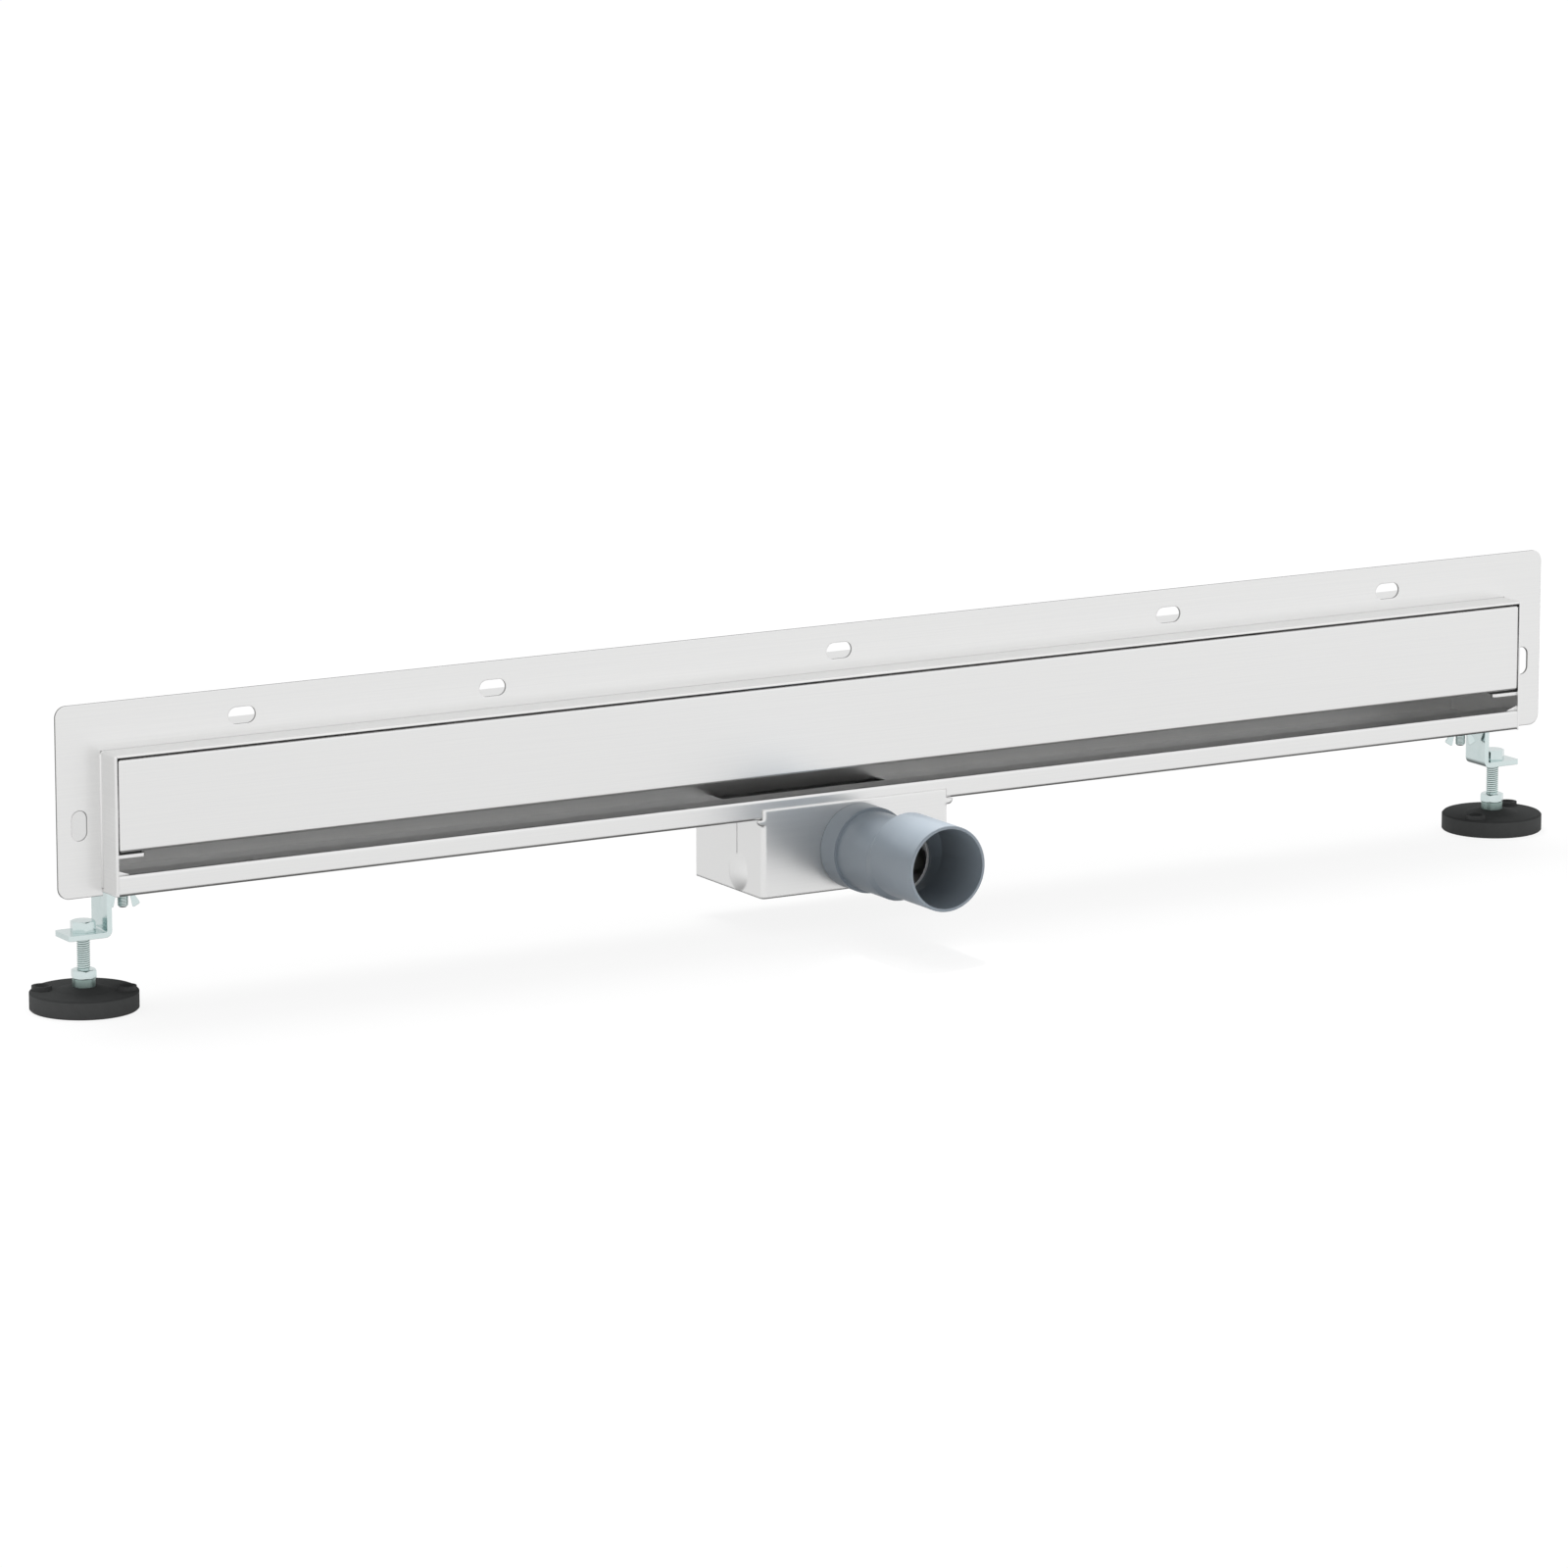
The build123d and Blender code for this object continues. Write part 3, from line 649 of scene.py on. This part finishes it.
world = bpy.data.worlds.new("Studio_surroundings")
bpy.context.scene.world = world
world.use_nodes = True
sky = world.node_tree
sky.nodes.clear()
direction = add_node(sky, "ShaderNodeTexCoord")
axes = add_node(sky, "ShaderNodeSeparateXYZ", links={"Vector": direction.outputs["Generated"]})
shade = add_node(
    sky,
    "ShaderNodeMapRange",
    values={"From Min": SHADE_TO, "From Max": SHADE_FROM, "To Min": SHADE_LEVEL, "To Max": 1.0},
    links={"Value": axes.outputs["Z"]},
)
back = add_node(
    sky,
    "ShaderNodeMapRange",
    values={"From Min": BACK_FROM, "From Max": BACK_TO, "To Min": 1.0, "To Max": BACK_LEVEL},
    links={"Value": axes.outputs["Y"]},
)
dimmed = add_node(
    sky,
    "ShaderNodeMath",
    {"operation": "MULTIPLY"},
    links={0: shade.outputs["Result"], 1: back.outputs["Result"]},
)
print("the surroundings fall to", SHADE_LEVEL, "below and to", BACK_LEVEL, "at the back")

# %% White for the camera, shaded for mirrors
ray = add_node(sky, "ShaderNodeLightPath")
level = add_node(
    sky,
    "ShaderNodeMath",
    {"operation": "MAXIMUM"},
    links={0: dimmed.outputs[0], 1: ray.outputs["Is Camera Ray"]},
)
mirrored = add_node(
    sky,
    "ShaderNodeMath",
    {"operation": "MAXIMUM"},
    links={0: ray.outputs["Is Camera Ray"], 1: ray.outputs["Is Glossy Ray"]},
)
seen = add_node(
    sky,
    "ShaderNodeMath",
    {"operation": "MAXIMUM"},
    links={0: mirrored.outputs[0], 1: ray.outputs["Is Transmission Ray"]},
)
soft_light = add_node(sky, "ShaderNodeBackground", values={"Color": WHITE, "Strength": WORLD_LIGHT})
backdrop = add_node(
    sky, "ShaderNodeBackground", values={"Color": WHITE}, links={"Strength": level.outputs[0]}
)
choice = add_node(
    sky,
    "ShaderNodeMixShader",
    links={0: seen.outputs[0], 1: soft_light.outputs["Background"], 2: backdrop.outputs["Background"]},
)
add_node(sky, "ShaderNodeOutputWorld", links={"Surface": choice.outputs["Shader"]})
print("made", world.name)

# %% [markdown]
# ## The lamps
# A broad soft key light from above and a little behind gives the rubber and the plastic their form, and the
# floor its shadow.  Mirrors don't see it, because a lamp's image would burn out the folds of the steel.
# The plastic outlet has a bright band along its top.  A small lamp above it, with a narrow cone, draws that
# band and leaves the frame behind it alone.

# %% The key light
KEY_DIRECTION = (0.1, 0.5, 1.0)
KEY_STRENGTH = 1.8
KEY_SOFTNESS = 35

bpy.ops.object.select_all(action="DESELECT")
bpy.ops.object.light_add(type="SUN", location=KEY_DIRECTION)
key = bpy.context.object
key.name = "key_light"
key.data.energy = KEY_STRENGTH
key.data.angle = radians(KEY_SOFTNESS)
key.rotation_euler = (-Vector(KEY_DIRECTION)).to_track_quat("-Z", "Y").to_euler()
key.visible_glossy = False
print(key.name, "shines from", KEY_DIRECTION)

# %% The lamp above the outlet
SPOT_PLACE = (0.14, 0.12, 0.43)
SPOT_AIM = (0.0, -0.14, -0.09)
SPOT_POWER = 22.0
SPOT_CONE = 14
SPOT_BLEND = 0.6
SPOT_RADIUS = 0.03

bpy.ops.object.select_all(action="DESELECT")
bpy.ops.object.light_add(type="SPOT", location=SPOT_PLACE)
spot = bpy.context.object
spot.name = "outlet_light"
spot.data.energy = SPOT_POWER
spot.data.spot_size = radians(SPOT_CONE)
spot.data.spot_blend = SPOT_BLEND
spot.data.shadow_soft_size = SPOT_RADIUS
spot.rotation_euler = (Vector(SPOT_AIM) - Vector(SPOT_PLACE)).to_track_quat("-Z", "Y").to_euler()
print(spot.name, "has a cone of", SPOT_CONE, "degrees")

# %% [markdown]
# ## The view transform
# The Standard view transform shows each colour about as it is written.

# %% Set the view transform
bpy.context.scene.view_settings.view_transform = "Standard"
